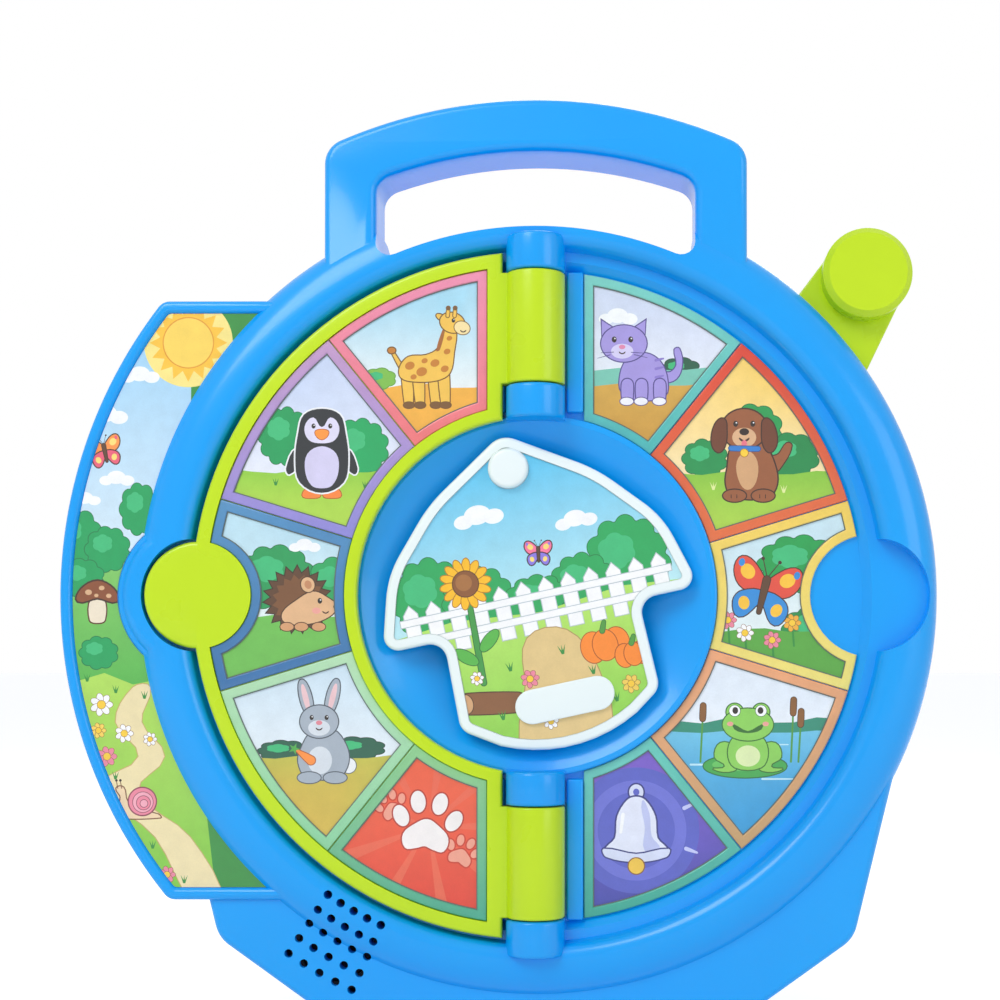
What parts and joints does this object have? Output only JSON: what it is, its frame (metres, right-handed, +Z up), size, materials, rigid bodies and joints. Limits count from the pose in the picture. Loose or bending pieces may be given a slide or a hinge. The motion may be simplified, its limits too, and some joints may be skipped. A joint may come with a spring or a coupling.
{
  "type": "animal sound spinner toy",
  "caption": "Round upright sound toy with a pointer spinner in a picture dial, a hinged flip page, a pull-down side lever, a side picture panel and a top carry handle.",
  "frame": {"origin": "on the flat bottom of the base, below the dial's axis, on the parting plane of the two shells", "axes": "+Z up, +X to the right as the child sees it, the dial faces -Y"},
  "size_m": [0.3055, 0.0767, 0.3265],
  "materials": {
    "blue_plastic": "glossy injection-moulded ABS",
    "lime_plastic": "glossy injection-moulded ABS",
    "white_plastic": "glossy injection-moulded ABS",
    "printed_label": "printed and embossed label with a clear gloss film",
    "steel": "zinc-plated or spring steel",
    "dark_plastic": "moulded ABS",
    "black_plastic": "moulded ABS and resin",
    "acetal": "natural acetal",
    "circuit_board": "green solder mask on fibreglass",
    "clear_glass": "clear",
    "black_paper": "pressed paper pulp",
    "ferrite": "sintered, matt",
    "battery_case": "plain printed sleeve",
    "wire_insulation": "flexible PVC",
    "magnet_nickel": "nickel plated",
    "felt": "pressed felt",
    "brass": "plain"
  },
  "bodies": {
    "casing": {"front_shell": "blue_plastic", "rear_shell": "blue_plastic", "case_screws": "steel", "side_panel_label": "printed_label", "right_leaf_labels": "printed_label", "left_leaf_labels": "printed_label", "page_hinge_pins": "steel", "lever_pin": "steel", "lever_spring": "steel", "idler_axle": "steel", "gear_plate": "dark_plastic", "gear_plate_screws": "steel", "main_board": "circuit_board", "board_parts": "black_plastic", "board_screws": "steel", "lever_switch": "black_plastic", "page_sensor": "clear_glass", "speaker_frame": "steel", "speaker_cone": "black_paper", "speaker_magnet": "ferrite", "speaker_clamp": "blue_plastic", "speaker_screws": "steel", "batteries": "battery_case", "battery_springs": "steel", "battery_tabs": "steel", "battery_leads": "wire_insulation", "speaker_leads": "wire_insulation", "sensor_leads": "wire_insulation", "volume_switch": "steel"},
    "page": {"page_frame": "lime_plastic", "page_front_labels": "printed_label", "page_back_labels": "printed_label", "page_magnet": "magnet_nickel"},
    "spinner": {"spinner_frame": "white_plastic", "spinner_label": "printed_label", "spinner_plate": "white_plastic", "spinner_shaft": "steel", "friction_washer": "felt", "spring_washer": "steel", "clutch_spring": "steel", "shaft_collar": "brass", "encoder_disc": "brass"},
    "lever": {"lever_arm": "lime_plastic", "lever_cover": "lime_plastic"},
    "idler": {"idler_gear": "acetal"},
    "clutch": {"clutch_gear": "acetal"},
    "volume_slide": {"volume_slider": "black_plastic"},
    "battery_cover": {"battery_door": "blue_plastic", "battery_door_screw": "steel"}
  },
  "joints": [
    {"name": "page_hinge", "type": "hinge", "parent": "casing", "child": "page", "pos_m": [0, -0.0065, 0.154], "axis": [0, 0, 1], "range_deg": [0, 180]},
    {"name": "spinner_turn", "type": "hinge", "parent": "casing", "child": "spinner", "pos_m": [0, 0, 0.154], "axis": [0, 1, 0], "continuous": true},
    {"name": "lever_pull", "type": "hinge", "parent": "casing", "child": "lever", "pos_m": [0.047, 0, 0.154], "axis": [0, 1, 0], "range_deg": [0, 48], "stiffness_Nm_per_rad": 0.25, "springref_deg": -28.65, "deforming": ["lever_spring"]},
    {"name": "idler_turn", "type": "hinge", "parent": "casing", "child": "idler", "pos_m": [0.01636, 0, 0.1351], "axis": [0, 1, 0], "range_deg": [-240, 0]},
    {"name": "clutch_turn", "type": "hinge", "parent": "casing", "child": "clutch", "pos_m": [0, 0, 0.154], "axis": [0, 1, 0], "range_deg": [0, 617.2]},
    {"name": "volume_slide", "type": "slide", "parent": "casing", "child": "volume_slide", "axis": [1, 0, 0], "range_m": [0, 0.008]},
    {"name": "battery_cover_off", "type": "slide", "parent": "casing", "child": "battery_cover", "axis": [0, 1, 0], "range_m": [0, 0.03]}
  ],
  "couplings": [
    {"joint": "idler_turn", "follows": "lever_pull", "ratio": -5},
    {"joint": "clutch_turn", "follows": "lever_pull", "ratio": 12.857}
  ]
}
